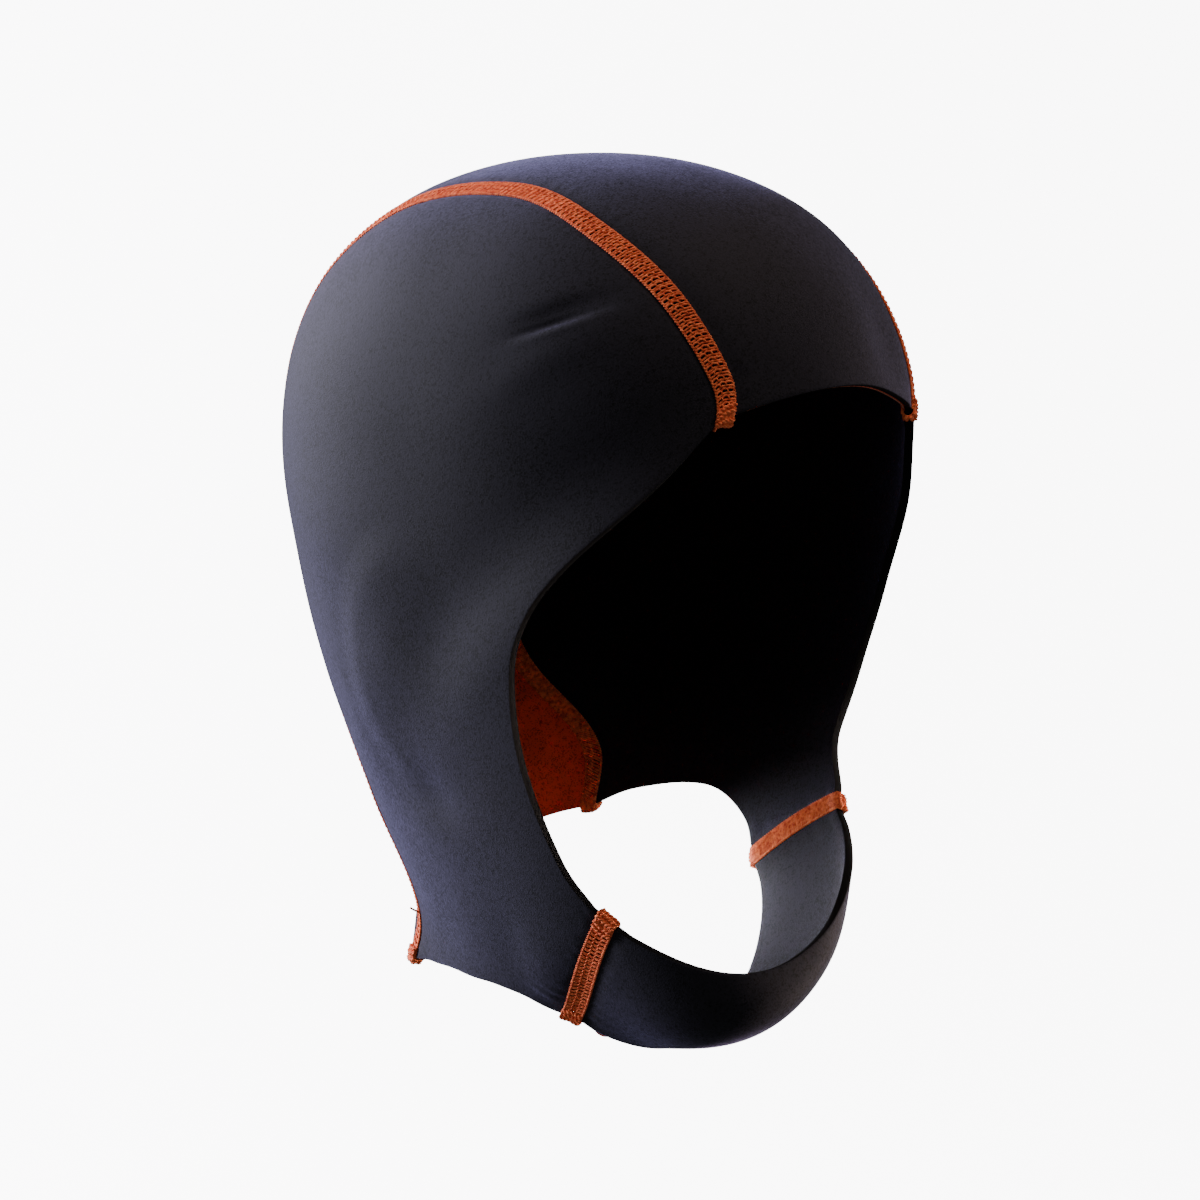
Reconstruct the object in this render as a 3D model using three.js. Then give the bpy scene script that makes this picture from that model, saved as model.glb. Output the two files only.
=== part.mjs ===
// A neoprene swim cap with a chin band, as it stands open when nobody wears it.
// Two side panels and a crown strip between them run from the brow to the nape, and the
// strip is lined. A band under the chin joins the side panels. Flat stitched seams hold
// the four panels edge to edge, and each seam is turned round the raw edge where it ends.
// The wearer faces -Y, +X is the wearer's left and +Z is up. The origin is the highest
// point of the lining, where the top of the head carries the cap.
import * as THREE from 'three';

// Driving sizes, in millimetres
const wall = 2.5; // neoprene, with its lining on the crown strip
const liningWall = 0.5;
const liningGap = 0.3; // between the crown strip and its lining
const capWidth = 154; // outside, at the widest level
const capLength = 194; // outside, brow to back of the head
const domeHeight = 81; // top of the crown down to the widest level
const skirtDepth = 172; // widest level down to the lowest section of the form
const stripWidth = 85; // between the two crown seams, over the forehead
const browRise = 9; // brow end of the crown seams above the widest level
const browArch = 7; // brow edge between the seams, above their ends
const napeDrop = 137; // widest level down to the nape end of the crown seams
const seamWidth = 6.2; // stitched band on either face
const seamHeight = 0.6; // thickness of that band
const seamClearance = 0.3; // free gap between the band and the panels
const buttGap = 1.2; // gap between two panel edges, which the seam's middle crosses
const endWrap = 0.9; // thickness of the seam where it is turned round a raw edge

// How the empty cap hangs: the part round the jaw is turned, and let down on one side.
// Each starts a distance below the widest level and is complete after a further drop.
const hangTurn = -13; // degrees about the vertical, chin towards the wearer's right
const turnStart = 38;
const turnSpan = 55;
const turnLag = 0.7; // the turn starts this much lower for each step towards the back
const hangSlope = 0.6; // the left side is higher by this share of its distance across
const slopeStart = 50;
const slopeSpan = 100;
const slopeLead = 0.3; // the slope starts this much higher for each step towards the back

// Mesh density
const seamSteps = 40; // along a crown seam
const sideSteps = 11; // from a crown seam to the chin seam
const stripSteps = 6; // across the crown strip
const bandSteps = 18; // along the chin band
const bandRows = 4; // across the chin band
const chinSteps = 8; // along a chin seam

// The form below the widest level. drop is a share of skirtDepth, halfWidth a share of
// half the cap's width. front and back are its reach from the ears and centre is how far
// its widest place lies before them, as shares of half the cap's length.
const sections = [
  { drop: 0.0, halfWidth: 1.0, front: 1.0, back: 1.0, centre: 0.0 },
  { drop: 0.18, halfWidth: 0.98, front: 1.04, back: 0.96, centre: 0.02 },
  { drop: 0.36, halfWidth: 0.89, front: 1.1, back: 0.87, centre: 0.08 },
  { drop: 0.53, halfWidth: 0.765, front: 1.05, back: 0.75, centre: 0.2 },
  { drop: 0.7, halfWidth: 0.61, front: 0.92, back: 0.7, centre: 0.26 },
  { drop: 0.84, halfWidth: 0.5, front: 0.58, back: 0.81, centre: 0.05 },
  { drop: 1.0, halfWidth: 0.4, front: 0.5, back: 0.76, centre: 0.0 },
];
const roundness = 2.2; // exponent of the sections and of the crown: 2 is an ellipse

// The crown seams, by the share of their length from the brow to the nape. half is half
// the distance between them and lean is the strip's shift towards the wearer's right, both
// as shares of half stripWidth.
const stripTaper = [
  { along: 0.0, half: 1.0, lean: 0.0 },
  { along: 0.08, half: 1.06, lean: 0.06 },
  { along: 0.18, half: 1.06, lean: 0.1 },
  { along: 0.3, half: 0.99, lean: 0.03 },
  { along: 0.45, half: 0.96, lean: 0.0 },
  { along: 0.62, half: 0.98, lean: 0.0 },
  { along: 0.8, half: 0.87, lean: 0.0 },
  { along: 1.0, half: 0.78, lean: 0.0 },
];

// Edges seen from the side. along runs from the crown seam to the chin seam, forward is
// the distance in front of the ears as a share of half the length, drop a share of
// skirtDepth.
const faceEdge = [
  { along: 0.2, forward: 0.77, drop: 0.08 },
  { along: 0.42, forward: 0.56, drop: 0.25 },
  { along: 0.66, forward: 0.465, drop: 0.45 },
  { along: 0.86, forward: 0.53, drop: 0.6 },
  { along: 1.0, forward: 0.63, drop: 0.68 },
];
const hemEdge = [
  { along: 0.35, forward: -0.28, drop: 0.77 },
  { along: 0.7, forward: 0.06, drop: 0.755 },
  { along: 1.0, forward: 0.36, drop: 0.825 },
];
const bandSag = 21; // the middle of the chin band hangs this far below its ends
const bandBulge = 10; // its middle stands out this far between its two edges

const halfWidth = capWidth / 2;
const halfLength = capLength / 2;
const widestZ = wall - domeHeight;
const tinyShare = 1e-3; // step along a surface for its slopes and lengths

// Value of one column of a table at a share, through its rows on smooth cubics.
function column(rows, shareName, valueName, share) {
  const last = rows.length - 1;
  let k = 0;
  while (k < last - 1 && share > rows[k + 1][shareName]) k += 1;
  const slope = (i) => {
    const a = rows[Math.max(i - 1, 0)];
    const b = rows[Math.min(i + 1, last)];
    return (b[valueName] - a[valueName]) / (b[shareName] - a[shareName]);
  };
  const [p, q] = [rows[k], rows[k + 1]];
  const width = q[shareName] - p[shareName];
  const t = Math.min(Math.max((share - p[shareName]) / width, 0), 1);
  const rise = q[valueName] - p[valueName];
  const startSlope = k === 0 && rows === sections ? 0 : slope(k) * width;
  const endSlope = slope(k + 1) * width;
  return (
    p[valueName] +
    startSlope * t +
    (3 * rise - 2 * startSlope - endSlope) * t * t +
    (startSlope + endSlope - 2 * rise) * t * t * t
  );
}

const smooth = (t) => {
  const s = Math.min(Math.max(t, 0), 1);
  return s * s * (3 - 2 * s);
};

// Size of the horizontal section at a height: half width, front and back reach.
function sectionAt(z) {
  if (z >= widestZ) {
    const rise = Math.min((z - widestZ) / domeHeight, 1);
    const k = Math.max(1 - rise ** roundness, 0) ** (1 / roundness);
    return { side: halfWidth * k, front: halfLength * k, back: halfLength * k, middle: 0 };
  }
  const drop = (widestZ - z) / skirtDepth;
  const middle = -halfLength * column(sections, 'drop', 'centre', drop);
  return {
    side: halfWidth * column(sections, 'drop', 'halfWidth', drop),
    front: halfLength * column(sections, 'drop', 'front', drop) + middle,
    back: halfLength * column(sections, 'drop', 'back', drop) - middle,
    middle,
  };
}

// Half width of the form at a place in the side view.
function formX(y, z) {
  const s = sectionAt(z);
  const used = (Math.abs(y - s.middle) / (y < s.middle ? s.front : s.back)) ** roundness;
  return s.side * Math.max(1 - used, 0) ** (1 / roundness);
}

// Point of the form at distance x from the middle, on a ray that leaves the head's
// centre at an angle above the face, seen from the side.
function domePoint(x, angle) {
  const [dy, dz] = [-Math.cos(angle), Math.sin(angle)];
  const ray = (Math.abs(dy) / halfLength) ** roundness + (Math.max(dz, 0) / domeHeight) ** roundness;
  const reach = ((1 - (Math.abs(x) / halfWidth) ** roundness) / ray) ** (1 / roundness);
  return new THREE.Vector3(x, reach * dy, widestZ + reach * dz);
}

// Point at the back of the form below the widest level.
function backPoint(x, z) {
  const s = sectionAt(z);
  const used = Math.min(Math.abs(x) / s.side, 1) ** roundness;
  return new THREE.Vector3(x, s.middle + s.back * (1 - used) ** (1 / roundness), z);
}

// A place on the crown strip: along from the brow to the nape, across from -1 at the
// right seam to 1 at the left one.
const browAngle = Math.asin(browRise / halfLength);
const domeShare = 0.66; // share of the seam that lies above the widest level
function stripPoint(along, across) {
  const half = column(stripTaper, 'along', 'half', along);
  const x = (stripWidth / 2) * (across * half - column(stripTaper, 'along', 'lean', along));
  const arch = Math.max(1 - across * across, 0);
  if (along <= domeShare) {
    const share = along / domeShare;
    const lift = (browArch / halfLength) * arch * (1 - smooth(share * 2));
    return domePoint(x, browAngle + (Math.PI - browAngle) * share + lift);
  }
  const share = (along - domeShare) / (1 - domeShare);
  return backPoint(x, widestZ - napeDrop * share);
}

const sideView = (row) => new THREE.Vector2(-row.forward * halfLength, widestZ - row.drop * skirtDepth);

// An edge in the side view, from a given start through the rows of its table.
function edgePoint(rows, start, along) {
  const first = { along: 0, forward: -start.x / halfLength, drop: (widestZ - start.y) / skirtDepth };
  const all = [first, ...rows];
  return sideView({
    forward: column(all, 'along', 'forward', along),
    drop: column(all, 'along', 'drop', along),
  });
}

// A place on a side panel in the side view: u from the face edge to the hem, v from the
// crown seam to the chin seam. It blends the panel's four edges, and the pull of the two
// seams fades smoothly, so that no lines of the panel cross.
function sidePlace(side, u, v) {
  const seam = (share) => {
    const p = stripPoint(share, side);
    return new THREE.Vector2(p.y, p.z);
  };
  const face = edgePoint(faceEdge, seam(0), v);
  const hem = edgePoint(hemEdge, seam(1), v);
  const chinFront = sideView(faceEdge[faceEdge.length - 1]);
  const chinBack = sideView(hemEdge[hemEdge.length - 1]);
  const top = seam(u);
  const bottom = chinFront.clone().lerp(chinBack, u);
  const edges = face.lerp(hem, u).add(top.lerp(bottom, smooth(v)));
  const corners = seam(0).lerp(seam(1), u).lerp(bottom, smooth(v));
  return edges.sub(corners);
}

function sidePoint(side, u, v) {
  const p = sidePlace(side, u, v);
  return new THREE.Vector3(side * formX(p.x, p.y), p.x, p.y);
}

// A place on the chin band: along from the right chin seam to the left one, across from
// the face edge to the hem.
function bandPoint(along, across) {
  const chinFront = sideView(faceEdge[faceEdge.length - 1]);
  const chinBack = sideView(hemEdge[hemEdge.length - 1]);
  const end = chinFront.clone().lerp(chinBack, across);
  const s = sectionAt(end.y);
  const turn = Math.atan2(formX(end.x, end.y) / s.side, (s.middle - end.x) / s.front);
  const angle = turn * (2 * along - 1);
  const [sx, sy] = [Math.sin(angle), Math.cos(angle)];
  const size = (Math.abs(sx) ** roundness + Math.abs(sy) ** roundness) ** (-1 / roundness);
  const middle = Math.cos((Math.PI / 2) * (2 * along - 1));
  const bulge = bandBulge * middle * middle * Math.sin(Math.PI * across);
  const x = s.side * size * sx + bulge * sx;
  const y = s.middle - s.front * size * sy - bulge * sy;
  return new THREE.Vector3(x, y, end.y - bandSag * middle - bulge / 2);
}

// Moves a point of the upright form to where the empty cap hangs.
function hang(p) {
  const drop = widestZ - p.z;
  const turned = smooth((drop - turnStart - turnLag * p.y) / turnSpan);
  const turn = THREE.MathUtils.degToRad(hangTurn) * turned;
  const slope = hangSlope * smooth((drop - slopeStart + slopeLead * p.y) / slopeSpan);
  const x = p.x * Math.cos(turn) - p.y * Math.sin(turn);
  const y = p.x * Math.sin(turn) + p.y * Math.cos(turn);
  return new THREE.Vector3(x, y, p.z + slope * p.x);
}

// Outward unit normal of a surface at one of its places, on its outer side.
function normalAt(surface, u, v, outward) {
  const [u0, u1] = [Math.max(u - tinyShare, 0), Math.min(u + tinyShare, 1)];
  const [v0, v1] = [Math.max(v - tinyShare, 0), Math.min(v + tinyShare, 1)];
  const du = surface(u1, v).sub(surface(u0, v));
  const dv = surface(u, v1).sub(surface(u, v0));
  return du.cross(dv).normalize().multiplyScalar(outward);
}

// The share that lies a distance in from the start (end 0) or the finish (end 1) of a
// surface's v, at a given u.
function inset(surface, u, end, distance) {
  const near = Math.abs(end - tinyShare);
  const length = surface(u, near).distanceTo(surface(u, end)) / tinyShare;
  return end === 0 ? distance / length : 1 - distance / length;
}

// Shares across a panel from one sewn edge to the other: the cut edge beside the butt gap,
// the edge of the stitched band, even steps, and the same at the far side.
function sewnShares(surface, u, steps) {
  const start = inset(surface, u, 0, seamWidth / 2);
  const finish = inset(surface, u, 1, seamWidth / 2);
  const shares = [inset(surface, u, 0, buttGap / 2)];
  for (let j = 0; j <= steps; j += 1) shares.push(start + ((finish - start) * j) / steps);
  shares.push(inset(surface, u, 1, buttGap / 2));
  return shares;
}

// A geometry from points and triangles of point numbers. Triangles with a repeated point
// are dropped, and all are turned if they face inwards.
function closedGeometry(points, triangles) {
  const faces = triangles.filter(([a, b, c]) => a !== b && b !== c && c !== a);
  const volume = faces.reduce((sum, [a, b, c]) => {
    const cross = new THREE.Vector3().crossVectors(points[b], points[c]);
    return sum + points[a].dot(cross);
  }, 0);
  const turned = volume < 0 ? faces.map(([a, b, c]) => [a, c, b]) : faces;
  const geometry = new THREE.BufferGeometry();
  const positions = points.flatMap((p) => [p.x, p.y, p.z]);
  geometry.setAttribute('position', new THREE.Float32BufferAttribute(positions, 3));
  geometry.setIndex(turned.flat());
  return geometry;
}

// Closed sheet of a given thickness, its outer face a depth under a surface. It has
// uSteps along the surface, and across it the shares that sharesAt gives.
function sheet(surface, outward, uSteps, sharesAt, depth, thickness) {
  const outer = [];
  const inner = [];
  let across = 0;
  for (let i = 0; i <= uSteps; i += 1) {
    const u = i / uSteps;
    const shares = sharesAt(u);
    across = shares.length;
    for (const v of shares) {
      const normal = normalAt(surface, u, v, outward);
      outer.push(surface(u, v).addScaledVector(normal, -depth));
      inner.push(surface(u, v).addScaledVector(normal, -depth - thickness));
    }
  }
  const below = outer.length;
  const at = (i, j) => i * across + j;
  const faces = [];
  const quad = (a, b, c, d) => faces.push([a, b, c], [a, c, d]);
  for (let i = 0; i < uSteps; i += 1) {
    for (let j = 0; j < across - 1; j += 1) {
      const [a, b, c, d] = [at(i, j), at(i + 1, j), at(i + 1, j + 1), at(i, j + 1)];
      quad(a, b, c, d);
      quad(below + a, below + d, below + c, below + b);
    }
    quad(at(i + 1, 0), at(i, 0), below + at(i, 0), below + at(i + 1, 0));
    const [near, far] = [at(i, across - 1), at(i + 1, across - 1)];
    quad(near, far, below + far, below + near);
  }
  for (let j = 0; j < across - 1; j += 1) {
    quad(at(0, j), at(0, j + 1), below + at(0, j + 1), below + at(0, j));
    const [near, far] = [at(uSteps, j + 1), at(uSteps, j)];
    quad(near, far, below + far, below + near);
  }
  return closedGeometry([...outer, ...inner], faces);
}

// Flat seam between two panels. first and second give, for a share along the seam, a
// panel's surface place and normal at a distance from the seam. The section is an H: a
// stitched band on either face and a web through the butt gap. Past each raw edge the
// section is filled, which turns the seam round that edge.
const sectionCorners = 14;
function seam(first, second, steps) {
  const points = [];
  const rings = [];
  const section = (along, shift) => {
    const [a, b] = [first(along, seamWidth / 2), second(along, seamWidth / 2)];
    const [p, q] = [first(along, 0), second(along, 0)];
    const normal = p.normal.clone().add(q.normal).normalize();
    const across = b.point.clone().sub(a.point).normalize();
    const middle = p.point.clone().lerp(q.point, 0.5);
    const webHalf = buttGap / 2 - seamClearance;
    const lift = (from, direction, height, sideways = 0) =>
      from.clone().addScaledVector(direction, height).addScaledVector(across, sideways).add(shift);
    const low = seamClearance;
    const top = low + seamHeight;
    const inLow = -wall - seamClearance;
    const inTop = inLow - seamHeight;
    const start = points.length;
    points.push(
      lift(a.point, a.normal, top), lift(middle, normal, top), lift(b.point, b.normal, top),
      lift(b.point, b.normal, low), lift(middle, normal, low, webHalf),
      lift(middle, normal, inLow, webHalf), lift(b.point, b.normal, inLow),
      lift(b.point, b.normal, inTop), lift(middle, normal, inTop), lift(a.point, a.normal, inTop),
      lift(a.point, a.normal, inLow), lift(middle, normal, inLow, -webHalf),
      lift(middle, normal, low, -webHalf), lift(a.point, a.normal, low),
    );
    return Array.from({ length: sectionCorners }, (_, k) => start + k);
  };
  const filled = (r) => [0, 1, 2, 3, 3, 6, 6, 7, 8, 9, 10, 10, 13, 13].map((k) => r[k]);
  const past = (end, distance) => {
    const near = Math.abs(end - tinyShare);
    const outwards = first(end, 0).point.sub(first(near, 0).point).normalize();
    return outwards.multiplyScalar(distance);
  };
  const startEdge = section(0, past(0, seamClearance));
  rings.push(filled(section(0, past(0, seamClearance + endWrap))), filled(startEdge), startEdge);
  for (let i = 1; i < steps; i += 1) rings.push(section(i / steps, new THREE.Vector3()));
  const endEdge = section(1, past(1, seamClearance));
  rings.push(endEdge, filled(endEdge), filled(section(1, past(1, seamClearance + endWrap))));
  const faces = [];
  for (let i = 0; i < rings.length - 1; i += 1) {
    for (let k = 0; k < sectionCorners; k += 1) {
      const next = (k + 1) % sectionCorners;
      const [a, b, c, d] = [rings[i][k], rings[i][next], rings[i + 1][next], rings[i + 1][k]];
      faces.push([a, b, c], [a, c, d]);
    }
  }
  const caps = [[...new Set(rings[0])], [...new Set(rings[rings.length - 1])].reverse()];
  for (const cap of caps) {
    for (let k = 1; k < cap.length - 1; k += 1) faces.push([cap[0], cap[k + 1], cap[k]]);
  }
  const used = [...new Set(faces.flat())];
  const number = new Map(used.map((old, index) => [old, index]));
  const renumbered = faces.map((face) => face.map((old) => number.get(old)));
  return closedGeometry(used.map((old) => points[old]), renumbered);
}

const neoprene = new THREE.MeshStandardMaterial({ color: 0x1b1b20, roughness: 0.8, metalness: 0 });
const lining = new THREE.MeshStandardMaterial({ color: 0xc23a12, roughness: 0.9, metalness: 0 });
const thread = new THREE.MeshStandardMaterial({ color: 0xe8622a, roughness: 0.6, metalness: 0 });
const group = new THREE.Group();
function add(name, geometry, material) {
  const mesh = new THREE.Mesh(geometry, material);
  mesh.name = name;
  group.add(mesh);
}

const stripSurface = (u, v) => hang(stripPoint(u, 2 * v - 1));
const bandSurface = (u, v) => hang(bandPoint(v, u));
const sides = { right: -1, left: 1 };

// Crown strip and its lining
const stripShares = (u) => sewnShares(stripSurface, u, stripSteps);
const stripWall = wall - liningWall - liningGap;
add('crown_strip', sheet(stripSurface, -1, seamSteps, stripShares, 0, stripWall), neoprene);
const liningDepth = wall - liningWall;
add('strip_lining', sheet(stripSurface, -1, seamSteps, stripShares, liningDepth, liningWall), lining);

// Chin band
const bandShares = (u) => sewnShares(bandSurface, u, bandSteps);
add('chin_band', sheet(bandSurface, 1, bandRows, bandShares, 0, wall), neoprene);

// Side panels and their seams
for (const [name, side] of Object.entries(sides)) {
  const surface = (u, v) => hang(sidePoint(side, u, v));
  const shares = (u) => sewnShares(surface, u, sideSteps);
  add(`${name}_panel`, sheet(surface, -side, seamSteps, shares, 0, wall), neoprene);
  const place = (of, outward, u, end, distance) => {
    const v = inset(of, u, end, distance);
    return { point: of(u, v), normal: normalAt(of, u, v, outward) };
  };
  const stripEnd = side < 0 ? 0 : 1;
  const panelAtCrown = (u, distance) => place(surface, -side, u, 0, distance);
  const stripAtCrown = (u, distance) => place(stripSurface, -1, u, stripEnd, distance);
  add(`${name}_crown_seam`, seam(panelAtCrown, stripAtCrown, seamSteps), thread);
  const panelAtChin = (u, distance) => place(surface, -side, u, 1, distance);
  const bandAtChin = (u, distance) => place(bandSurface, 1, u, stripEnd, distance);
  add(`${name}_chin_seam`, seam(panelAtChin, bandAtChin, chinSteps), thread);
}

export default group;
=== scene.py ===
"""A neoprene swim cap with a chin band, as it stands open when nobody wears it.

Metres, +Z up, the wearer faces -Y and +X is the wearer's left. The origin is the
highest point of the lining, where the top of the head carries the cap.
"""

from math import asin, cos, pi, radians, sin

import bmesh
import bpy
import numpy as np
from mathutils import Matrix, Vector


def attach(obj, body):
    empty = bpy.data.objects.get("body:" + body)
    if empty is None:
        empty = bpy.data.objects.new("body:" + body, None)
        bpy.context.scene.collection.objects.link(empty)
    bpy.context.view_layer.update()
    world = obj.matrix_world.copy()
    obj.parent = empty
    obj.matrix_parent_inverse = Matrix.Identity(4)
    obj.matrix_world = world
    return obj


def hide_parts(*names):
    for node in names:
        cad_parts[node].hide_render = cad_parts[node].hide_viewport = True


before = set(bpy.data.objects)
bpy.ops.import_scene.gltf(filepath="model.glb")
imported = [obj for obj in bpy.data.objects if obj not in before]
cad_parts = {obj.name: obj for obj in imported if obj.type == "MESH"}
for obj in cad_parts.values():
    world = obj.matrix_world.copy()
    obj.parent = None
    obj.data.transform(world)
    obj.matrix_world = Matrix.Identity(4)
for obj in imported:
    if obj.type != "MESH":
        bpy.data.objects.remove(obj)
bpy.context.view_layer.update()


# Crown strip: one long panel of 2.5 mm foam neoprene from the brow over the top of
# the head to the nape. It is cut from sheet that is faced with fine black jersey
# outside and orange jersey inside, and sewn edge to edge to the side panels.

WALL = 0.0025
LINING = 0.0005
CAP_WIDTH = 0.154
CAP_LENGTH = 0.194
DOME_HEIGHT = 0.081
SKIRT_DEPTH = 0.172
ROUNDNESS = 2.2  # exponent of the sections and of the crown: 2 is an ellipse
HALF_WIDTH = CAP_WIDTH / 2
HALF_LENGTH = CAP_LENGTH / 2
WIDEST_Z = WALL - DOME_HEIGHT
STRIP_WIDTH = 0.085
BROW_RISE = 0.009
BROW_ARCH = 0.007
NAPE_DROP = 0.137
DOME_SHARE = 0.66  # share of a crown seam that lies above the widest level

# The form below the widest level: drop, half width, reach to the front, reach to the
# back, and how far the widest place lies before the ears.
SECTIONS = np.array([
    (0.0, 1.0, 1.0, 1.0, 0.0),
    (0.18, 0.98, 1.04, 0.96, 0.02),
    (0.36, 0.89, 1.1, 0.87, 0.08),
    (0.53, 0.765, 1.05, 0.75, 0.2),
    (0.7, 0.61, 0.92, 0.7, 0.26),
    (0.84, 0.5, 0.58, 0.81, 0.05),
    (1.0, 0.4, 0.5, 0.76, 0.0),
])
# The crown seams: share of their length, half the distance between them, and lean.
STRIP_TAPER = np.array([
    (0.0, 1.0, 0.0),
    (0.08, 1.06, 0.06),
    (0.18, 1.06, 0.1),
    (0.3, 0.99, 0.03),
    (0.45, 0.96, 0.0),
    (0.62, 0.98, 0.0),
    (0.8, 0.87, 0.0),
    (1.0, 0.78, 0.0),
])
# How the empty cap hangs: the part round the jaw is turned and let down on one side.
HANG_TURN = radians(-13)
TURN_START, TURN_SPAN, TURN_LAG = 0.038, 0.055, 0.7
HANG_SLOPE, SLOPE_START, SLOPE_SPAN, SLOPE_LEAD = 0.6, 0.05, 0.1, 0.3
TINY = 1e-3  # step along a surface for its slopes and lengths


def smooth(t):
    s = np.clip(t, 0, 1)
    return s * s * (3 - 2 * s)


def column(rows, number, share, level_start=False):
    """One column of a table at a share, through its rows on smooth cubics."""
    xs, ys = rows[:, 0], rows[:, number]
    last = len(xs) - 1
    before = np.maximum(np.arange(last + 1) - 1, 0)
    after = np.minimum(np.arange(last + 1) + 1, last)
    slopes = (ys[after] - ys[before]) / (xs[after] - xs[before])
    if level_start:
        slopes[0] = 0
    k = np.clip(np.searchsorted(xs, share, side="left") - 1, 0, last - 1)
    width = xs[k + 1] - xs[k]
    t = np.clip((share - xs[k]) / width, 0, 1)
    rise = ys[k + 1] - ys[k]
    a, b = slopes[k] * width, slopes[k + 1] * width
    return ys[k] + a * t + (3 * rise - 2 * a - b) * t**2 + (a + b - 2 * rise) * t**3


def section(z):
    """Half width, reach to the front and back, and middle of the form at a height."""
    z = np.asarray(z, float)
    rise = np.clip((z - WIDEST_Z) / DOME_HEIGHT, 0, 1)
    k = np.maximum(1 - rise**ROUNDNESS, 0) ** (1 / ROUNDNESS)
    drop = np.maximum((WIDEST_Z - z) / SKIRT_DEPTH, 0)
    middle = -HALF_LENGTH * column(SECTIONS, 4, drop, True)
    side = HALF_WIDTH * column(SECTIONS, 1, drop, True)
    front = HALF_LENGTH * column(SECTIONS, 2, drop, True) + middle
    back = HALF_LENGTH * column(SECTIONS, 3, drop, True) - middle
    dome = z >= WIDEST_Z
    side = np.where(dome, HALF_WIDTH * k, side)
    front = np.where(dome, HALF_LENGTH * k, front)
    back = np.where(dome, HALF_LENGTH * k, back)
    return side, front, back, np.where(dome, 0, middle)


def half_width_at(y, z):
    side, front, back, middle = section(z)
    used = (np.abs(y - middle) / np.where(y < middle, front, back)) ** ROUNDNESS
    return side * np.maximum(1 - used, 0) ** (1 / ROUNDNESS)


def strip_point(along, across):
    """Along from the brow to the nape, across from the right seam at -1 to the left at 1."""
    x = STRIP_WIDTH / 2 * (across * column(STRIP_TAPER, 1, along) - column(STRIP_TAPER, 2, along))
    arch = np.maximum(1 - across * across, 0)
    brow = asin(BROW_RISE / HALF_LENGTH)
    share = along / DOME_SHARE
    angle = brow + (pi - brow) * share + BROW_ARCH / HALF_LENGTH * arch * (1 - smooth(share * 2))
    ray = (np.abs(np.cos(angle)) / HALF_LENGTH) ** ROUNDNESS
    ray = ray + (np.maximum(np.sin(angle), 0) / DOME_HEIGHT) ** ROUNDNESS
    left = 1 - (np.abs(x) / HALF_WIDTH) ** ROUNDNESS
    reach = (left / ray) ** (1 / ROUNDNESS)
    y, z = -reach * np.cos(angle), WIDEST_Z + reach * np.sin(angle)
    low = WIDEST_Z - NAPE_DROP * (along - DOME_SHARE) / (1 - DOME_SHARE)
    side, _, back, middle = section(low)
    used = np.minimum(np.abs(x) / np.maximum(side, TINY), 1) ** ROUNDNESS
    behind = middle + back * (1 - used) ** (1 / ROUNDNESS)
    dome = along <= DOME_SHARE
    return np.stack([x, np.where(dome, y, behind), np.where(dome, z, low)], -1)


# What the empty cap has taken on: slow waves of the foam all over, and on the right side
# the pocket that the ear leaves, which fades out towards the face.
WAVE, WAVE_SIZE, WAVE_COUNT = 0.0005, 0.034, 9
EAR_POCKET = {"y": 0.006, "z": -0.143, "half_y": 0.030, "half_z": 0.036, "rise": 0.0010,
              "rim": 0.82, "fall": 0.4, "fade_from": -0.012, "fade": 0.035}
# Creases, dents and flat places: place, half length, half width, the way each runs in
# degrees, and its height. On the sides the place is y and z: on the right the crease at
# the temple, the swelling below it, a dent under the ear and the turned corner of the hem.
TEMPLE_CREASE = (-0.0420, -0.0455)
RIGHT_DENTS = [
    (-0.0418, -0.0458, 0.0095, 0.0012, 161, -0.0008),
    (-0.0424, -0.0432, 0.0110, 0.0030, 161, -0.0010),
    (-0.0416, -0.0482, 0.0085, 0.0014, 159, 0.0002),
    (-0.0400, -0.0560, 0.0160, 0.0060, 150, 0.0005),
    (0.0100, -0.1770, 0.0110, 0.0080, 20, -0.0013),
    (0.0520, -0.2380, 0.0080, 0.0070, 90, 0.0024),
]
LEFT_DENTS = [
    (-0.0400, -0.1690, 0.0300, 0.0080, 175, -0.0025),
    (0.0200, -0.1500, 0.0300, 0.0140, 100, 0.0012),
]
# Over the brow and at the nape the place is x and z: a flat place and a dent.
FRONT_DENTS = [(0.0220, -0.0500, 0.0230, 0.0170, 90, -0.0030)]
BACK_DENTS = [(-0.0100, -0.2250, 0.0160, 0.0110, 90, -0.0024)]
SIDE_FADE = 0.02
FRONT_FROM, FRONT_FADE = 0.05, 0.03
BACK_FROM, BACK_FADE = 0.02, 0.02
# How far the right hem hangs out of its plain line: place (y), half length, rise.
HEM_WAVES = [
    (-0.0135, 0.0080, 0.0016),
    (0.0090, 0.0120, -0.0019),
]
HEM_TOP, HEM_FADE = -0.2, 0.025


def soft_waves(p, seed):
    """Slow unevenness of a foam sheet from a few crossing waves, between -1 and 1."""
    rng = np.random.default_rng(seed)
    total = np.zeros(p.shape[:-1])
    for _ in range(WAVE_COUNT):
        direction = rng.normal(size=3)
        direction *= 2 * pi / (WAVE_SIZE * rng.uniform(0.7, 2.2) * np.linalg.norm(direction))
        total += np.sin(p @ direction + rng.uniform(0, 2 * pi))
    return total / WAVE_COUNT


def dents(rows, y, z):
    """Height of all the dents of a table at places in its view."""
    height = np.zeros(y.shape)
    for at_y, at_z, half_long, half_wide, way, rise in rows:
        dy, dz = y - at_y, z - at_z
        a = dy * cos(radians(way)) + dz * sin(radians(way))
        b = -dy * sin(radians(way)) + dz * cos(radians(way))
        height += rise * np.exp(-(a / half_long) ** 2 - (b / half_wide) ** 2)
    return height


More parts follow.
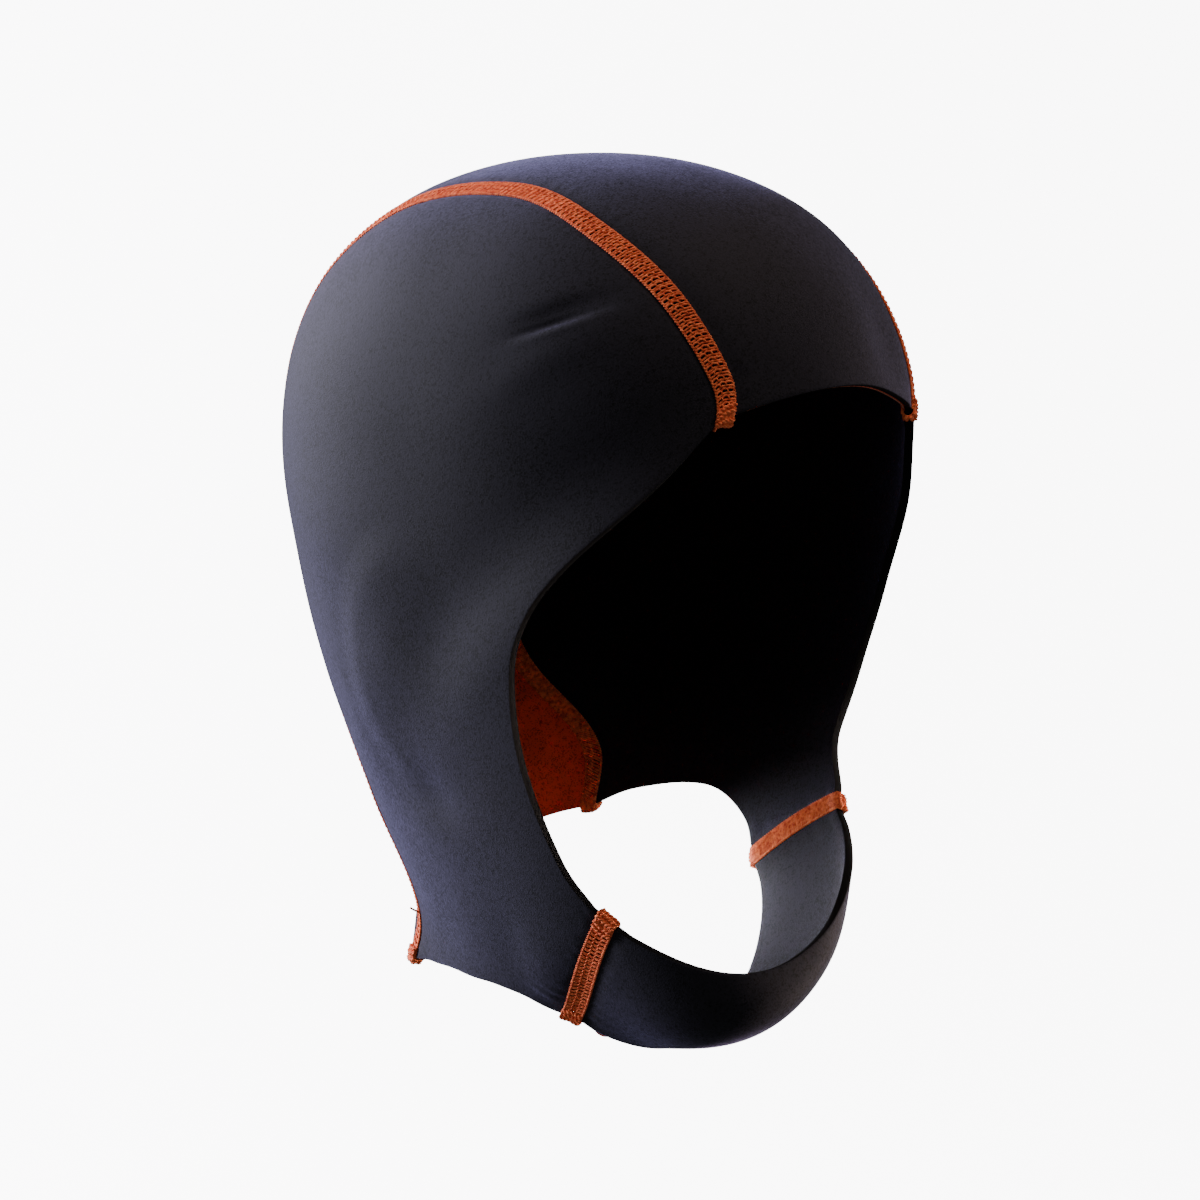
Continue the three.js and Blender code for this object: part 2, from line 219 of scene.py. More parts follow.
def relief(p):
    """How far the cap stands out of its plain form at points of it."""
    x, y, z = p[..., 0], p[..., 1], p[..., 2]
    ear = EAR_POCKET
    far = np.hypot((y - ear["y"]) / ear["half_y"], (z - ear["z"]) / ear["half_z"])
    pocket = ear["rise"] * (1 - smooth((far - ear["rim"]) / ear["fall"]))
    pocket *= smooth((y - ear["fade_from"]) / ear["fade"])
    height = WAVE * soft_waves(p, 7)
    height += smooth(-x / SIDE_FADE) * (pocket + dents(RIGHT_DENTS, y, z))
    height += smooth((-y - FRONT_FROM) / FRONT_FADE) * dents(FRONT_DENTS, x, z)
    height += smooth((y - BACK_FROM) / BACK_FADE) * dents(BACK_DENTS, x, z)
    return height + smooth(x / SIDE_FADE) * dents(LEFT_DENTS, y, z)


def hang(p):
    """Moves points of the upright form to where the empty cap hangs, with its relief."""
    x, y, z = p[..., 0], p[..., 1], p[..., 2]
    drop = WIDEST_Z - z
    turn = HANG_TURN * smooth((drop - TURN_START - TURN_LAG * y) / TURN_SPAN)
    slope = HANG_SLOPE * smooth((drop - SLOPE_START + SLOPE_LEAD * y) / SLOPE_SPAN)
    hung = np.stack([
        x * np.cos(turn) - y * np.sin(turn),
        x * np.sin(turn) + y * np.cos(turn),
        z + slope * x,
    ], -1)
    near_hem = smooth((HEM_TOP - hung[..., 2]) / HEM_FADE) * smooth(-hung[..., 0] / SIDE_FADE)
    for at_y, half, rise in HEM_WAVES:
        hung[..., 2] += near_hem * rise * np.exp(-((hung[..., 1] - at_y) / half) ** 2)
    from_axis = hung - np.stack([0 * x, 0 * y, np.minimum(hung[..., 2], WIDEST_Z)], -1)
    from_axis /= np.linalg.norm(from_axis, axis=-1, keepdims=True)
    return hung + from_axis * relief(hung)[..., None]


def normal_at(surface, u, v, outward):
    """Unit normal of a surface. outward is 1 or -1, to make it point out of the cap."""
    u, v = np.broadcast_arrays(np.asarray(u, float), np.asarray(v, float))
    du = surface(np.minimum(u + TINY, 1), v) - surface(np.maximum(u - TINY, 0), v)
    dv = surface(u, np.minimum(v + TINY, 1)) - surface(u, np.maximum(v - TINY, 0))
    n = np.cross(du, dv)
    return outward * n / np.linalg.norm(n, axis=-1, keepdims=True)


def inset(surface, u, end, distance):
    """The share v that lies a distance in from one end of the surface's v, at u."""
    near = abs(end - TINY)
    length = np.linalg.norm(surface(u, near) - surface(u, end), axis=-1) / TINY
    return distance / length if end == 0 else 1 - distance / length


# What the stitching does beside a seam: the sheet is pressed down under the thread and
# puckers a little next to it, no two puckers quite alike.
PRESSED, PRESS_FROM, PRESS_REACH = 0.00035, 0.0028, 0.0042
PUCKER, PUCKER_PITCH = 0.0001, 0.0052
PUCKER_FROM, PUCKER_RISE = 0.002, 0.003
PUCKER_UNTIL, PUCKER_REACH = 0.004, 0.008


def beside_seam(distance, along):
    """Height of the sheet at a distance from a seam, along being metres of that seam."""
    pressed = -PRESSED * (1 - smooth((distance - PRESS_FROM) / PRESS_REACH))
    phase = 2 * pi * along / PUCKER_PITCH
    ripple = np.sin(phase + 1.7 * np.sin(phase * 0.31)) * (0.6 + 0.4 * np.sin(phase * 0.17))
    fade = smooth((distance - PUCKER_FROM) / PUCKER_RISE)
    fade = fade * (1 - smooth((distance - PUCKER_UNTIL) / PUCKER_REACH))
    return pressed + PUCKER * ripple * fade


PANEL_GAP = 0.00008  # half of the gap between two panels
CREASE_WINDOW = (0.016, 0.009)  # half of the field round a crease that gets the finer grid


def bunched(t):
    """Shares across a panel, closer together beside its seams."""
    return 0.45 * t + 0.55 * smooth(t)


def edges_near(bm, surface, place):
    """Edges of a flat grid that come to lie near a place in the side view of a surface."""
    bm.edges.ensure_lookup_table()
    middle = np.array([(e.verts[0].co + e.verts[1].co) / 2 for e in bm.edges])
    there = surface((middle[:, 0] + 1) / 2, bunched((middle[:, 1] + 1) / 2))
    near = np.abs(there[:, 1] - place[0]) < CREASE_WINDOW[0]
    near &= np.abs(there[:, 2] - place[1]) < CREASE_WINDOW[1]
    return [bm.edges[k] for k in np.flatnonzero(near)]


def seam_lengths(surface, end, count=2001):
    """Shares along one end of a surface's v, and the length of the seam up to each."""
    shares = np.linspace(0, 1, count)
    steps = np.linalg.norm(np.diff(surface(shares, float(end)), axis=0), axis=1)
    return shares, np.concatenate([[0], np.cumsum(steps)])


def panel_mesh(name, surface, outward, along_cuts, across_cuts, depth=0.0, crease=None):
    """Grid laid on a surface: x of the grid runs along u, y across v between two seams.

    depth is how far it lies inside the surface, and crease is a place round which the
    grid is made finer."""
    bm = bmesh.new()
    bmesh.ops.create_grid(bm, x_segments=along_cuts, y_segments=across_cuts, size=1)
    if crease:
        near = edges_near(bm, surface, crease)
        bmesh.ops.subdivide_edges(bm, edges=near, cuts=3, use_grid_fill=True)
    flat = np.array([v.co for v in bm.verts])
    u = (flat[:, 0] + 1) / 2
    t = bunched((flat[:, 1] + 1) / 2)
    start, finish = (inset(surface, u, end, PANEL_GAP) for end in (0, 1))
    v = start + (finish - start) * t
    place = surface(u, v)
    normal = normal_at(surface, u, v, outward)
    lengths = [seam_lengths(surface, end, 400)[1][-1] for end in (0, 1)]
    across = np.linalg.norm(surface(u, 0.5 + 0 * u) - surface(u, 0 * u), axis=-1) * 2
    height = sum(beside_seam(np.abs(v - end) * across, u * length)
                 for end, length in zip((0, 1), lengths))
    place = place + normal * (height - depth)[:, None]
    for vert, co in zip(bm.verts, place):
        vert.co = co
    if outward < 0:
        bmesh.ops.reverse_faces(bm, faces=bm.faces)
    mesh = bpy.data.meshes.new(name)
    bm.to_mesh(mesh)
    bm.free()
    mesh.shade_smooth()
    piece = bpy.data.objects.new(name, mesh)
    bpy.context.scene.collection.objects.link(piece)
    return piece


def give_wall(piece, thickness, materials, edge_radius=0.0004):
    """Gives a sheet its thickness inwards. Materials: outer face, inner face, cut edge."""
    for material in materials:
        piece.data.materials.append(material)
    solid = piece.modifiers.new("wall", "SOLIDIFY")
    solid.thickness = thickness
    solid.offset = -1
    solid.material_offset = 1
    solid.material_offset_rim = 2
    bevel = piece.modifiers.new("soft edge", "BEVEL")
    bevel.width = edge_radius
    bevel.segments = 2
    bevel.limit_method = "ANGLE"
    bevel.angle_limit = radians(50)


def linear(hex_colour):
    """sRGB hex colour as the linear RGBA that Blender's sockets take."""
    parts = [int(hex_colour[i:i + 2], 16) / 255 for i in (1, 3, 5)]
    return [c / 12.92 if c <= 0.04045 else ((c + 0.055) / 1.055) ** 2.4 for c in parts] + [1]


def add_node(tree, kind, inputs, **settings):
    """Adds a node, sets it up and fills its sockets with values or with other sockets."""
    made = tree.nodes.new(kind)
    for name, value in settings.items():
        setattr(made, name, value)
    for name, value in inputs.items():
        if isinstance(value, bpy.types.NodeSocket):
            tree.links.new(value, made.inputs[name])
        else:
            made.inputs[name].default_value = value
    return made


def empty_material(name):
    material = bpy.data.materials.new(name)
    material.use_nodes = True
    material.node_tree.nodes.clear()
    return material, material.node_tree


# Jersey-faced neoprene: a fine nylon knit glued to black foam. The knit scatters light
# at grazing angles, so the black turns blue-grey where light rakes over it, and its
# loops, each turned a little differently, show as a very fine speckle.
LOOP = 0.00042  # one loop of the knit


def jersey(name, dark, light, sheen_colour, sheen):
    material, tree = empty_material(name)
    place = add_node(tree, "ShaderNodeTexCoord", {}).outputs["Object"]
    loops = add_node(tree, "ShaderNodeTexVoronoi", {"Vector": place, "Scale": 1 / LOOP})
    tufts = add_node(tree, "ShaderNodeTexVoronoi", {"Vector": place, "Scale": 0.4 / LOOP})
    clouds = add_node(tree, "ShaderNodeTexNoise", {
        "Vector": place, "Scale": 1 / 0.03, "Detail": 2.0, "Roughness": 0.5})
    grain = add_node(tree, "ShaderNodeMath", {
        0: tufts.outputs["Color"], 1: 0.45, 2: loops.outputs["Color"]}, operation="MULTIPLY_ADD")
    lift = add_node(tree, "ShaderNodeMath", {
        0: clouds.outputs["Fac"], 1: 0.6, 2: grain.outputs[0]}, operation="MULTIPLY_ADD")
    ramp = add_node(tree, "ShaderNodeValToRGB", {"Fac": lift.outputs[0]})
    ramp.color_ramp.elements[0].position = 0.55
    ramp.color_ramp.elements[0].color = linear(dark)
    ramp.color_ramp.elements[1].position = 1.0
    ramp.color_ramp.elements[1].color = linear(light)
    fuzz = add_node(tree, "ShaderNodeMapRange", {
        "Value": lift.outputs[0], "From Min": 0.5, "From Max": 1.5,
        "To Min": 0.45 * sheen, "To Max": 1.55 * sheen})
    bump = add_node(tree, "ShaderNodeBump", {
        "Height": loops.outputs["Distance"], "Strength": 0.5, "Distance": 0.0001})
    shader = add_node(tree, "ShaderNodeBsdfPrincipled", {
        "Base Color": ramp.outputs["Color"], "Roughness": 0.75, "Specular IOR Level": 0.14,
        "Sheen Weight": fuzz.outputs["Result"], "Sheen Roughness": 0.34,
        "Sheen Tint": linear(sheen_colour), "Normal": bump.outputs["Normal"]})
    add_node(tree, "ShaderNodeOutputMaterial", {"Surface": shader.outputs["BSDF"]})
    return material


# Cut foam: closed-cell rubber, matt and nearly black, with tiny open cells.
def foam(name, colour):
    material, tree = empty_material(name)
    place = add_node(tree, "ShaderNodeTexCoord", {}).outputs["Object"]
    cells = add_node(tree, "ShaderNodeTexVoronoi", {"Vector": place, "Scale": 1 / 0.0004})
    bump = add_node(tree, "ShaderNodeBump", {
        "Height": cells.outputs["Distance"], "Strength": 0.2, "Distance": 0.0001})
    shader = add_node(tree, "ShaderNodeBsdfPrincipled", {
        "Base Color": linear(colour), "Roughness": 0.8, "Specular IOR Level": 0.1,
        "Normal": bump.outputs["Normal"]})
    add_node(tree, "ShaderNodeOutputMaterial", {"Surface": shader.outputs["BSDF"]})
    return material


# The inner face is the same knit, a little less blue-grey where light rakes over it.
black_jersey = jersey("black nylon jersey", "#08080a", "#1a191f", "#aaa6dc", 0.42)
inner_jersey = jersey("black inner jersey", "#08080a", "#1a191f", "#aaa6dc", 0.36)
cut_foam = foam("cut edge of neoprene foam", "#050506")


def strip_surface(u, v):
    return hang(strip_point(u, 2 * v - 1))


LINING_GAP = 0.0001  # between the foam and the lining, where the glue is
strip = panel_mesh("crown_strip_foam", strip_surface, -1, 270, 64)
give_wall(strip, WALL - LINING - LINING_GAP, [black_jersey, cut_foam, cut_foam])
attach(strip, "root")
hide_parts("crown_strip")


# Lining of the crown strip: orange jersey glued to the inner face of the foam. It shows
# inside at the nape, and as a thin line along the brow edge.

# The same knit in orange, flatter in tone, and paler where it is cut.
orange_jersey = jersey("orange lining jersey", "#a8321f", "#e2523a", "#ff9a70", 0.08)
cut_lining = jersey("cut edge of the lining", "#6a2e1e", "#a06650", "#ffd0c0", 0.1)

lining = panel_mesh("strip_lining_jersey", strip_surface, -1, 200, 36, WALL - LINING)
give_wall(lining, LINING - LINING_GAP, [orange_jersey, orange_jersey, cut_lining], 0.0001)
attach(lining, "root")
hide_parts("strip_lining")


# Side panels: neoprene faced with black jersey on both sides, from the crown seams over
# the ears to the jaw. The face edge and the hem are raw cuts.

# The raw edges in the side view: share of the way from the crown seam to the chin seam,
# reach to the front in half lengths, and drop below the widest level in skirt depths.
FACE_EDGE = np.array([
    (0.2, 0.77, 0.08),
    (0.42, 0.56, 0.25),
    (0.66, 0.465, 0.45),
    (0.86, 0.53, 0.6),
    (1.0, 0.63, 0.68),
])
HEM_EDGE = np.array([
    (0.35, -0.28, 0.77),
    (0.7, 0.06, 0.755),
    (1.0, 0.36, 0.825),
])


def side_view(forward, drop):
    """Reach to the front and drop, both as shares, to y and z."""
    return np.stack([-forward * HALF_LENGTH, WIDEST_Z - drop * SKIRT_DEPTH], -1)


def edge_point(rows, start, along):
    """An edge in the side view, from a start through the rows of its table."""
    first = (0, -start[0] / HALF_LENGTH, (WIDEST_Z - start[1]) / SKIRT_DEPTH)
    rows = np.vstack([first, rows])
    return side_view(column(rows, 1, along), column(rows, 2, along))


def mix(a, b, t):
    """Points between a and b."""
    return a + (b - a) * np.asarray(t)[..., None]


CHIN_FRONT = side_view(*FACE_EDGE[-1, 1:])
CHIN_BACK = side_view(*HEM_EDGE[-1, 1:])


def side_point(side, u, v):
    """u from the face edge to the hem, v from the crown seam to the chin seam."""
    u, v = np.broadcast_arrays(np.asarray(u, float), np.asarray(v, float))
    top = strip_point(u, side + 0 * u)[..., 1:]
    brow, nape = (strip_point(np.array(end), np.array(float(side)))[1:] for end in (0.0, 1.0))
    bottom = mix(CHIN_FRONT, CHIN_BACK, u)
    edges = mix(edge_point(FACE_EDGE, brow, v), edge_point(HEM_EDGE, nape, v), u)
    corners = mix(mix(brow, nape, u), bottom, smooth(v))
    p = edges + mix(top, bottom, smooth(v)) - corners
    x = side * half_width_at(p[..., 0], p[..., 1])
    return np.stack([x, p[..., 0], p[..., 1]], -1)


def side_surface(side):
    return lambda u, v: hang(side_point(side, u, v))


for name, side in (("right", -1), ("left", 1)):
    panel = panel_mesh(f"{name}_panel_foam", side_surface(side), -side, 205, 132,
                       crease=TEMPLE_CREASE if side < 0 else None)
    give_wall(panel, WALL, [black_jersey, inner_jersey, cut_foam])
    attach(panel, "root")
    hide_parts(f"{name}_panel")


# Chin band: a curved strip of the same neoprene under the chin. It sags towards its
# middle and bulges between its raw edges.

BAND_SAG, BAND_BULGE = 0.021, 0.010


def band_point(along, across):
    """Along from the right chin seam to the left, across from the face edge to the hem."""
    along, across = np.broadcast_arrays(np.asarray(along, float), np.asarray(across, float))
    end = mix(CHIN_FRONT, CHIN_BACK, across)
    side, front, _, middle = section(end[..., 1])
    half = half_width_at(end[..., 0], end[..., 1])
    turn = np.arctan2(half / side, (middle - end[..., 0]) / front)
    angle = turn * (2 * along - 1)
    sx, sy = np.sin(angle), np.cos(angle)
    size = (np.abs(sx) ** ROUNDNESS + np.abs(sy) ** ROUNDNESS) ** (-1 / ROUNDNESS)
    sag = np.cos(pi / 2 * (2 * along - 1))
    bulge = BAND_BULGE * sag * sag * np.sin(pi * across)
    return np.stack([
        side * size * sx + bulge * sx,
        middle - front * size * sy - bulge * sy,
        end[..., 1] - BAND_SAG * sag - bulge / 2,
    ], -1)


def band_surface(u, v):
    return hang(band_point(v, u))


band = panel_mesh("chin_band_foam", band_surface, 1, 40, 130)
give_wall(band, WALL, [black_jersey, inner_jersey, cut_foam])
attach(band, "root")
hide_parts("chin_band")


# Seams: flatlock stitches in orange polyester thread hold the panels edge to edge. A
# cover thread crosses from side to side on both faces, two rows of ties hold it on the
# outer one, and two strands twist round each other along each edge.

CROWN_STITCH, CHIN_STITCH = 0.0018, 0.0015
SEAM_HALF = 0.0029
INNER_FACE = -WALL - PRESSED - 0.00012  # height of the stitches on the inner face
# The cover thread: its radius in stitch lengths and how far a crossing leans along the
# seam over half its width, on the outer and the inner face; then half the distance of
# two crossings, in stitches, where they lie together and what the rows add to it.
OUTER_COVER, INNER_COVER = 0.165, 0.23
OUTER_SLANT, INNER_SLANT = 0.0006, 0.0018
PAIR_APART, ROW_APART = 0.16, 0.08
COVER_END = 0.0001  # how far a crossing ends short of the seam's edge
COVER_WAVE = 0.00016  # how far it rises between the needle rows
STRAY_ALONG, STRAY_ACROSS, STRAY_HEIGHT = 0.03, 0.00004, 0.00003
EDGE_THREAD, EDGE_TWIST = 0.00022, 0.00024
# The ties, in two rows on both sides of the joint: radius, share of a stitch that each
# covers, lean across, and rise.
NEEDLE_ROW = SEAM_HALF / 3
TIE_THREAD, TIE_SHARE, TIE_LEAN = 0.00021, 0.72, 0.0005
TIE_FOOT, TIE_RISE = 0.0001, 0.0004
rng = np.random.default_rng(3)


def seam_place(first, second, along, across, height):
    """Points over a seam: metres along it, across it (second panel positive) and above it.

    first and second are (surface, end, outward). Past a raw edge, the points go on
    straight from the edge."""
    shares, lengths = seam_lengths(first[0], first[1])
    inside = np.clip(along, 0, lengths[-1])
    u = np.interp(inside, lengths, shares)
    out = []
    for surface, end, outward in (first, second):
        v = inset(surface, u, end, np.abs(across))
        out.append((surface(u, v), normal_at(surface, u, v, outward)))
    weight = np.clip(across / SEAM_HALF * 0.5 + 0.5, 0, 1)[:, None]
    normal = out[0][1] * (1 - weight) + out[1][1] * weight
    normal /= np.linalg.norm(normal, axis=1, keepdims=True)
    place = np.where((across < 0)[:, None], out[0][0], out[1][0])
    nearby = first[0](np.minimum(u + TINY, 1), float(first[1]))
    ahead = nearby - first[0](np.maximum(u - TINY, 0), float(first[1]))
    ahead /= np.linalg.norm(ahead, axis=1, keepdims=True)
    return place + normal * height[:, None] + ahead * (along - inside)[:, None]


def thread_mesh(name, paths, radius, sides):
    """Round threads along paths, as one curve turned to a mesh."""
    curve = bpy.data.curves.new(name, "CURVE")
    curve.dimensions = "3D"
    curve.bevel_depth = radius
    curve.bevel_resolution = sides
    curve.use_fill_caps = True
    for path in paths:
        spline = curve.splines.new("POLY")
        spline.points.add(len(path) - 1)
        spline.points.foreach_set("co", np.hstack([path, np.ones((len(path), 1))]).ravel())
    shaped = bpy.data.objects.new(name, curve)
    bpy.context.scene.collection.objects.link(shaped)
    mesh = bpy.data.meshes.new_from_object(shaped)
    bpy.data.objects.remove(shaped)
    return mesh


def cover_stitches(length, stitch, lean, open_gaps):
    """The cover thread: two crossings a stitch. With open gaps they lie together in pairs
    between the needle rows."""
    count = int(round(length / stitch))
    pitch = length / count
    x = np.linspace(-1, 1, 13)
    at_rows = 0.5 - 0.5 * np.cos(3 * pi * x) if open_gaps else 1 + 0 * x
    apart = pitch * (PAIR_APART + ROW_APART * at_rows)
    along, across, height = [], [], []
    for k in range(count):
        for way in (-1, 1):
            middle = (k + 0.5 + rng.normal(0, STRAY_ALONG)) * pitch
            line = middle + way * apart + lean * x
            along.append(line[::-way])
            across.append(x[::-way] * (SEAM_HALF - COVER_END))
            height.append(COVER_WAVE * (1 - at_rows) + rng.normal(0, STRAY_HEIGHT))
    return np.concatenate(along), np.concatenate(across), np.concatenate(height)


def edge_rope(length, stitch, side, strand):
    """One of the two strands that twist round each other along an edge of the seam."""
    turns = length / stitch
    t = np.linspace(0, 1, int(turns * 7))
    phase = 2 * pi * turns * t + strand * pi
    across = side * SEAM_HALF + EDGE_TWIST * np.cos(phase)
    return t * length, across, EDGE_TWIST * np.sin(phase)


def needle_stitches(length, stitch, row, hand):
    """Needle thread in a row, as short stitches over the gaps of the cover thread."""
    count = int(round(length / stitch))
    pitch = length / count
    t = np.linspace(0, 1, 6)
    lean = OUTER_SLANT * hand * row / SEAM_HALF
    paths = []
    for k in range(1, count):
        along = k * pitch + lean + (t - 0.5) * TIE_SHARE * pitch
        across = row + (t - 0.5) * TIE_LEAN * hand + rng.normal(0, STRAY_ACROSS)
        paths.append((along, across, TIE_FOOT + TIE_RISE * np.sin(pi * t)))
    return paths


# Polyester thread: its shade changes along each strand, and the twist of its plies gives
# it a fine rough surface with a dull shine.
polyester, tree = empty_material("orange polyester thread")
place = add_node(tree, "ShaderNodeTexCoord", {}).outputs["Object"]
mottle = add_node(tree, "ShaderNodeTexNoise", {
    "Vector": place, "Scale": 1 / 0.0012, "Detail": 2.0, "Roughness": 0.6})
ramp = add_node(tree, "ShaderNodeValToRGB", {"Fac": mottle.outputs["Fac"]})
ramp.color_ramp.elements[0].position = 0.3
ramp.color_ramp.elements[0].color = linear("#be462a")
ramp.color_ramp.elements[1].position = 0.7
ramp.color_ramp.elements[1].color = linear("#ff8a56")
plies = add_node(tree, "ShaderNodeTexNoise", {
    "Vector": place, "Scale": 1 / 0.0003, "Detail": 2.0, "Roughness": 0.6})
bump = add_node(tree, "ShaderNodeBump", {
    "Height": plies.outputs["Fac"], "Strength": 0.4, "Distance": 0.0002})
shader = add_node(tree, "ShaderNodeBsdfPrincipled", {
    "Base Color": ramp.outputs["Color"], "Roughness": 0.65, "Specular IOR Level": 0.15,
    "Sheen Weight": 0.01, "Sheen Roughness": 0.4, "Sheen Tint": linear("#ffc9a0"),
    "Normal": bump.outputs["Normal"]})
add_node(tree, "ShaderNodeOutputMaterial", {"Surface": shader.outputs["BSDF"]})


def add_threads(name, node, paths, radius, sides):
    """A piece made of threads, which replaces a seam's solid together with the others."""
    mesh = thread_mesh(name, paths, radius, sides)
    mesh.materials.clear()
    mesh.materials.append(polyester)
    piece = bpy.data.objects.new(name, mesh)
    bpy.context.scene.collection.objects.link(piece)
    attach(piece, "root")
    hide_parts(node)


# The bound ends of a seam: radius of the thread, how far the strands go past the raw edge
# at the seam's sides and how much further at its middle, and how far they go back.
END_THREAD = 0.00036
END_PAST, END_ROUND, END_BACK = 0.0007, 0.0009, 0.0028
END_OUT = WALL / 2 + 0.0005
END_SWAY, END_STRAY = 0.0002, 0.0004
# Twisted threads that lie across those strands: the way each faces round the edge, in
# degrees, and how far it lies inside the edge.
BINDINGS = [(90, 0.0027), (90, 0.0012), (62, 0), (22, 0), (-25, 0)]
BINDING_HALF, BINDING_TWIST, BINDING_OVER = 0.0032, 0.00028, 0.0003


def turned_end(edge, into, lean):
    """Threads that bind the seam's end round a raw edge. into is 1 where the seam goes on
    with growing length, and -1 at its other end; lean is how much further the threads
    reach past the edge on the second panel."""
    paths = []

    def past(strand):
        return END_PAST + END_ROUND * np.sqrt(np.maximum(1 - strand * strand, 0)) + lean * strand

    round_edge = np.linspace(pi / 2, -pi / 2, 9)
    for strand in np.linspace(-1, 1, 10):
        sway = rng.normal(0, END_SWAY, 3)
        back = END_BACK + rng.normal(0, END_STRAY)
        along = np.concatenate([[back, back / 2], -past(strand) * np.cos(round_edge),
                                [back / 2, back]])
        height = np.concatenate([[0.0002, 0.0006], END_OUT * np.sin(round_edge) - WALL / 2,
                                 [-WALL - 0.0006, -WALL - 0.0002]])
        bend = 1 - 0.1 * np.linspace(-1, 1, len(along)) ** 2
        swayed = np.interp(np.linspace(0, 2, len(along)), [0, 1, 2], sway)
        paths.append((edge + into * along, strand * SEAM_HALF * bend + swayed, height))
    t = np.linspace(-1, 1, 29)
    for angle, inside in BINDINGS:
        rise = sin(radians(angle))
        reach = cos(radians(angle))
        for strand in (0, 1):
            phase = 8 * t + strand * pi + angle + 3000 * inside
            along = inside - (past(t) + BINDING_OVER) * reach + BINDING_TWIST * np.cos(phase)
            height = (END_OUT + BINDING_OVER) * rise - WALL / 2 + BINDING_TWIST * np.sin(phase)
            paths.append((edge + into * along, t * BINDING_HALF, height - 0.0003 * t**4 * rise))
    return paths


def lay(first, second, parts):
    """Paths over a seam, all at once: along, across and height to points."""
    joined = [np.concatenate(values) for values in zip(*parts)]
    points = seam_place(first, second, *joined)
    return np.split(points, np.cumsum([len(a) for a, _, _ in parts])[:-1])


def sew(name, stitch, first, second, hand, lean=0.0, tails=()):
    """Sews one seam on both faces and binds its ends. hand is 1 or -1, the way its
    stitches lean, lean is that of the bound first end, and tails are loose threads."""
    length = seam_lengths(first[0], first[1])[1][-1]
    faces = (("outer", 0.0, 1, OUTER_SLANT, OUTER_COVER),
             ("inner", INNER_FACE, -1, -INNER_SLANT, INNER_COVER))
    for word, lift, up, slant, thickness in faces:
        along, across, height = cover_stitches(length, stitch, hand * slant, up > 0)
        cover = [seam_place(first, second, along, across, lift + up * height)]
        ropes = [(a, b, lift + up * c)
                 for side in (-1, 1) for strand in (0, 1)
                 for a, b, c in [edge_rope(length, stitch, side, strand)]]
        add_threads(f"{name}_{word}_cover", name, cover, stitch * thickness, 1)
        add_threads(f"{name}_{word}_edges", name, lay(first, second, ropes), EDGE_THREAD, 0)
        if up > 0:
            ties = [stitch_path for row in (-NEEDLE_ROW, NEEDLE_ROW)
                    for stitch_path in needle_stitches(length, stitch, row, hand)]
            add_threads(f"{name}_{word}_ties", name, lay(first, second, ties), TIE_THREAD, 0)
    ends = turned_end(0, 1, lean) + turned_end(length, -1, 0.0) + list(tails)
    add_threads(f"{name}_ends", name, lay(first, second, ends), END_THREAD, 1)


# The right side has two loose threads: one stands off a little above the nape, and one
# runs on from the chin seam along the hem of the band.
CROWN_LEAN = 0.0017
for name, side in (("right", -1), ("left", 1)):
    strip_end = 0 if side < 0 else 1
    nape = seam_lengths(side_surface(side), 0)[1][-1]
    t = np.linspace(0, 1, 8)
    tail = (nape - 0.015 - 0.0022 * t, -0.0024 - 0.0008 * t, 0.0002 + 0.0034 * t - 0.001 * t * t)
    sew(f"{name}_crown_seam", CROWN_STITCH, (side_surface(side), 0, -side),
        (strip_surface, strip_end, -1), side, CROWN_LEAN, [tail] if side < 0 else [])
    jaw = seam_lengths(side_surface(side), 1)[1][-1]
    loop = (jaw + 0.0017 - 0.0013 * (2 * t - 1) ** 2, 0.0078 + 0.0055 * t, -WALL / 2 + 0 * t)
    sew(f"{name}_chin_seam", CHIN_STITCH, (side_surface(side), 1, -side),
        (band_surface, strip_end, 1), -1, 0.0, [loop] if side < 0 else [])


# Floor and backdrop: one pale sheet of paper that curves up behind.

CAMERA_AZIMUTH = -50
FLOOR_Z = -0.42
PAPER_HALF_WIDTH, PAPER_HALF_LENGTH = 4.5, 2.6
CURVE_START, CURVE_RUN, CURVE_RISE = 0.6, 2.0, 3.2
bm = bmesh.new()
bmesh.ops.create_grid(bm, x_segments=2, y_segments=60, size=1)
for vert in bm.verts:
    run = PAPER_HALF_LENGTH * vert.co.y
    rise = CURVE_RISE * smooth((run - CURVE_START) / CURVE_RUN) ** 1.5
    vert.co = (vert.co.x * PAPER_HALF_WIDTH, run, FLOOR_Z + rise)
turned = Matrix.Rotation(radians(CAMERA_AZIMUTH), 4, "Z")
bmesh.ops.transform(bm, matrix=turned, verts=bm.verts)
mesh = bpy.data.meshes.new("backdrop")
bm.to_mesh(mesh)
bm.free()
mesh.shade_smooth()
backdrop = bpy.data.objects.new("backdrop", mesh)
bpy.context.scene.collection.objects.link(backdrop)
# Paper that glows, so that it is nearly white all over; it casts no light on the cap.
paper, tree = empty_material("pale backdrop paper")
shader = add_node(tree, "ShaderNodeBsdfPrincipled", {
    "Base Color": linear("#f4f4f4"), "Roughness": 0.9, "Specular IOR Level": 0.1,
    "Emission Color": linear("#ffffff"), "Emission Strength": 8.0})
add_node(tree, "ShaderNodeOutputMaterial", {"Surface": shader.outputs["BSDF"]})
backdrop.data.materials.append(paper)
backdrop.visible_diffuse = False
backdrop.visible_glossy = False


# Light: a large cool soft box behind the right side, weak warm ones over the crown and
# at the left, two small ones for the inside at the neck and the band, and a pale room.

TARGET = Vector((0.0011, -0.0013, -0.1265))


